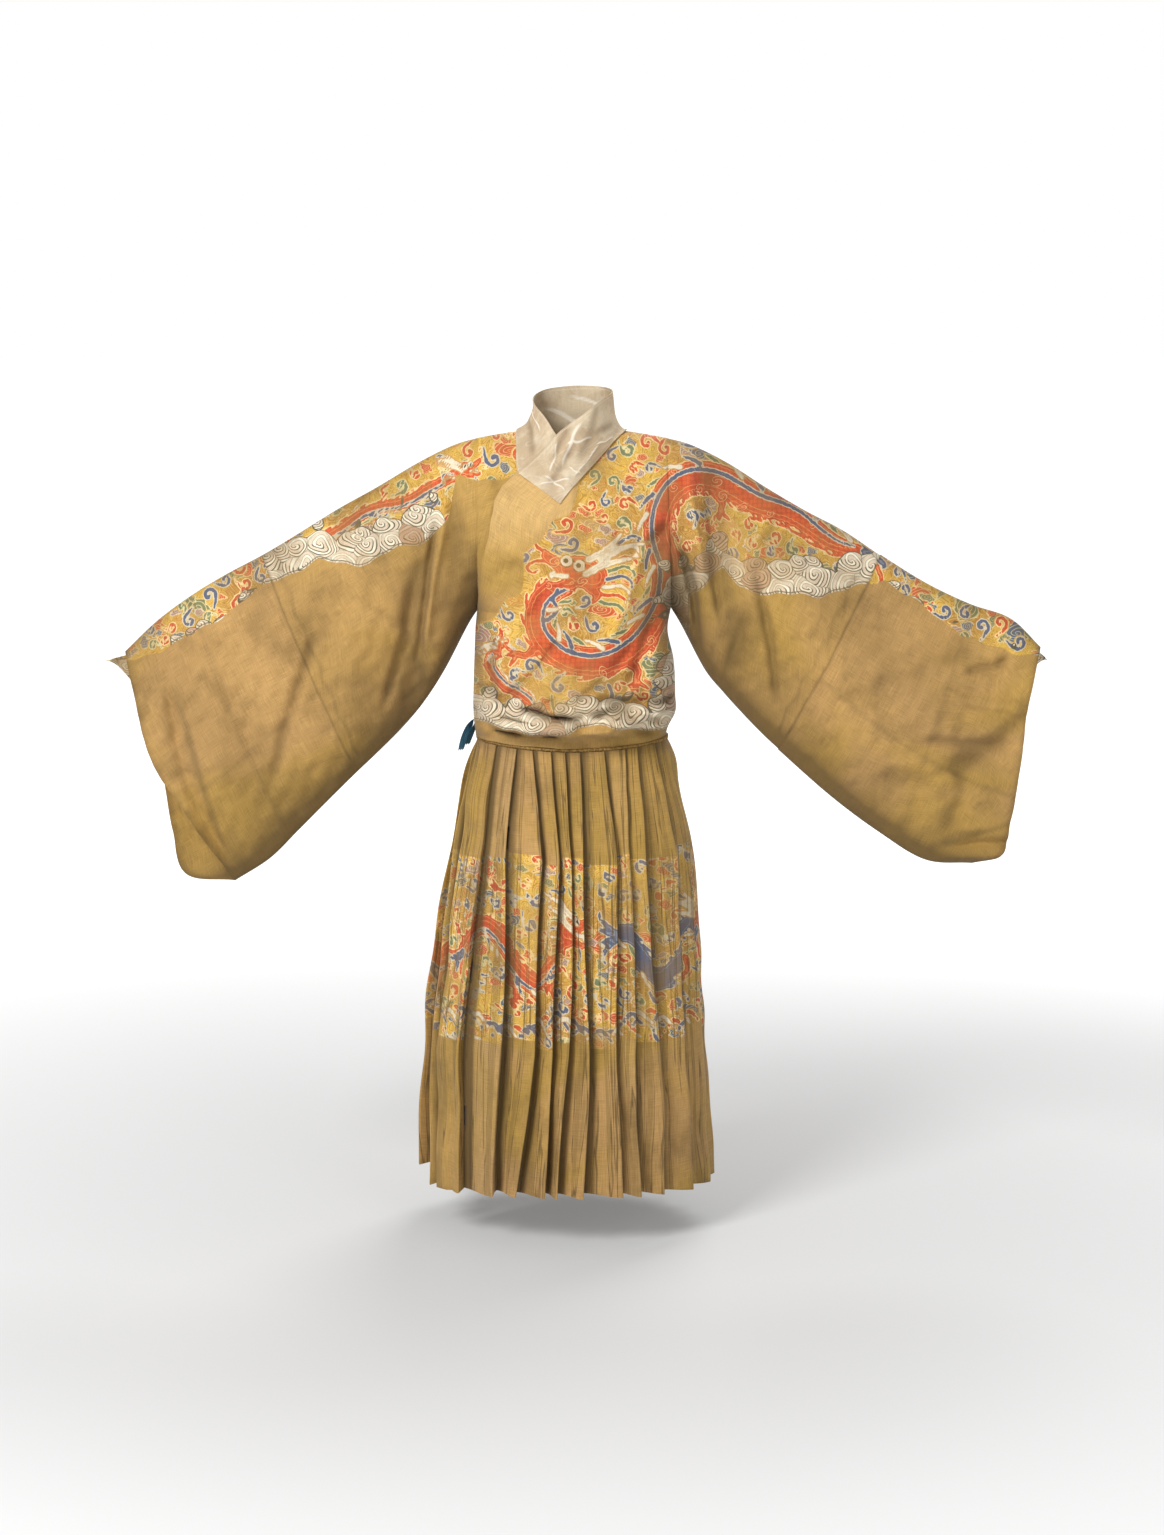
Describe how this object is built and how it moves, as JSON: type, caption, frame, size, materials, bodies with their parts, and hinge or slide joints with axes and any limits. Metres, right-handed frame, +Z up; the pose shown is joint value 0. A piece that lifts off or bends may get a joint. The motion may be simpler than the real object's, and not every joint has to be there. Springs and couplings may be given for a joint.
{
  "type": "pleated wrap robe",
  "caption": "Full-length wrap robe with a crossed standing collar, wide bag sleeves, a bloused bodice and a knife-pleated skirt with a patterned knee band.",
  "frame": {"origin": "centre of the neck opening at the height where the shoulders begin, where the wearer holds the robe", "axes": "+X to the wearer's left along the sleeves, +Y to the back, +Z up"},
  "size_m": [1.5205, 0.3911, 1.3045],
  "materials": {
    "ramie": "plain woven ramie, yellow-brown, matte",
    "brocade": "woven pattern in gold, orange-red, blue and cream",
    "guard_cloth": "pale beige-grey woven cloth",
    "seam_thread": "overcast thread",
    "blue_ribbon": "dark blue ribbon"
  },
  "bodies": {
    "root": {"left_width": "brocade", "right_width": "brocade", "front_overlap": "brocade", "left_sleeve": "ramie", "right_sleeve": "ramie", "left_cuff_flap": "brocade", "right_cuff_flap": "brocade", "collar": "guard_cloth", "waist_join": "seam_thread", "skirt_front": "ramie", "skirt_back": "ramie", "side_tie": "blue_ribbon"}
  },
  "joints": []
}
